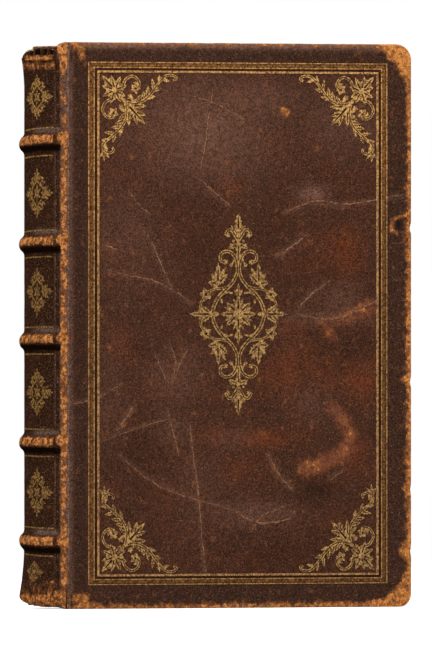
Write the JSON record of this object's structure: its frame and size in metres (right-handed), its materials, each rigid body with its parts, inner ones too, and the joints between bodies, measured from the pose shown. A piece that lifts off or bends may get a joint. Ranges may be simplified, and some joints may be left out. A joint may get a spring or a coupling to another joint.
{
  "type": "antique leather-bound book",
  "caption": "Old book in worn dark brown leather with raised bands and gilt tooling, standing on its tail, with covers that open.",
  "frame": {"origin": "middle of the book's footprint, on the surface it stands on", "axes": "+Z from tail to head, +X from spine to fore-edge, -Y out of the front cover"},
  "size_m": [0.1676, 0.0304, 0.23],
  "materials": {
    "leather": "worn, softly polished",
    "gilt": "rubbed gold leaf",
    "paper": "matt, browned",
    "pasteboard": "matt",
    "hemp": "matt twisted cord",
    "silk": "dull, faded thread"
  },
  "bodies": {
    "text_block": {"section_1": "paper", "section_2": "paper", "section_3": "paper", "section_4": "paper", "section_5": "paper", "section_6": "paper", "section_7": "paper", "section_8": "paper", "front_flyleaf": "paper", "back_flyleaf": "paper", "sewing_cord_1": "hemp", "sewing_cord_2": "hemp", "sewing_cord_3": "hemp", "sewing_cord_4": "hemp", "sewing_cord_5": "hemp", "spine_lining_1": "paper", "spine_lining_2": "paper", "spine_lining_3": "paper", "spine_lining_4": "paper", "spine_lining_5": "paper", "spine_lining_6": "paper", "headband": "silk", "tailband": "silk", "spine_leather": "leather", "gilt_spine_1": "gilt", "gilt_spine_2": "gilt", "gilt_spine_3": "gilt", "gilt_spine_4": "gilt", "gilt_spine_5": "gilt", "gilt_spine_6": "gilt", "gilt_line_below_1": "gilt", "gilt_line_below_2": "gilt", "gilt_line_below_3": "gilt", "gilt_line_below_4": "gilt", "gilt_line_below_5": "gilt", "gilt_line_above_1": "gilt", "gilt_line_above_2": "gilt", "gilt_line_above_3": "gilt", "gilt_line_above_4": "gilt", "gilt_line_above_5": "gilt"},
    "front_cover": {"front_leather": "leather", "front_board": "pasteboard", "front_pastedown": "paper", "front_outer_fillet": "gilt", "front_inner_fillet": "gilt", "gilt_centre": "gilt", "gilt_corner_head_spine": "gilt", "gilt_corner_head_fore": "gilt", "gilt_corner_tail_spine": "gilt", "gilt_corner_tail_fore": "gilt"},
    "back_cover": {"back_leather": "leather", "back_board": "pasteboard", "back_pastedown": "paper", "back_outer_fillet": "gilt", "back_inner_fillet": "gilt"}
  },
  "joints": [
    {"name": "front_joint", "type": "hinge", "parent": "text_block", "child": "front_cover", "pos_m": [-0.07527, -0.01515, 0.115], "axis": [0, 0, -1], "range_deg": [0, 180]},
    {"name": "back_joint", "type": "hinge", "parent": "text_block", "child": "back_cover", "pos_m": [-0.07527, 0.01515, 0.115], "axis": [0, 0, 1], "range_deg": [0, 180]}
  ]
}
